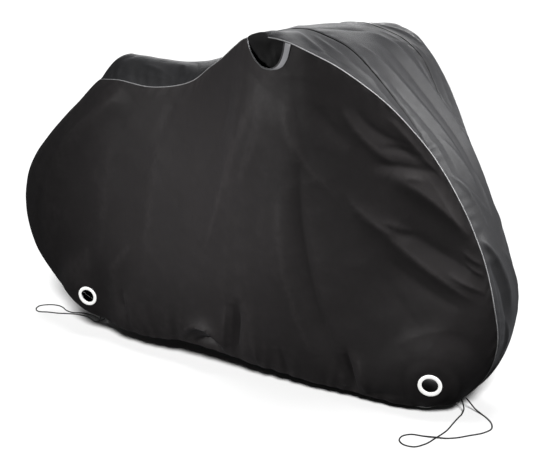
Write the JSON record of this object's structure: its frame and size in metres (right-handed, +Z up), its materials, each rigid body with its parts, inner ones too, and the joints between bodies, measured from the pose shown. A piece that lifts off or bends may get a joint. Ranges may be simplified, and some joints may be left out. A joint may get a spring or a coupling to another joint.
{
  "type": "bicycle cover",
  "caption": "Fitted fabric cover hanging over the space of a bicycle, with side panels, a strip over the top, vents, eyelets and a drawcord hem.",
  "frame": {"origin": "just under the cover's top, on the centre plane, where the handlebar holds it up", "axes": "+X forward along the bicycle, +Y to its left, +Z up"},
  "size_m": [1.8631, 0.6832, 1.099],
  "materials": {
    "nylon": "black coated nylon with a soft sheen",
    "pocket": "black nylon, matt",
    "piping": "light grey reflective tape",
    "eyelet": "white, satin",
    "cord": "black braided cord"
  },
  "bodies": {
    "root": {"centre_strip": "nylon", "side_panel_right": "nylon", "gusset_right": "nylon", "piping_right": "piping", "vent_tape_right": "piping", "vent_pocket_right": "pocket", "eyelet_patch_right_front": "nylon", "eyelet_ring_right_front": "eyelet", "eyelet_patch_right_rear": "nylon", "eyelet_ring_right_rear": "eyelet", "side_panel_left": "nylon", "gusset_left": "nylon", "piping_left": "piping", "vent_tape_left": "piping", "vent_pocket_left": "pocket", "eyelet_patch_left_front": "nylon", "eyelet_ring_left_front": "eyelet", "eyelet_patch_left_rear": "nylon", "eyelet_ring_left_rear": "eyelet", "cord_front": "cord", "cord_rear": "cord"}
  },
  "joints": []
}
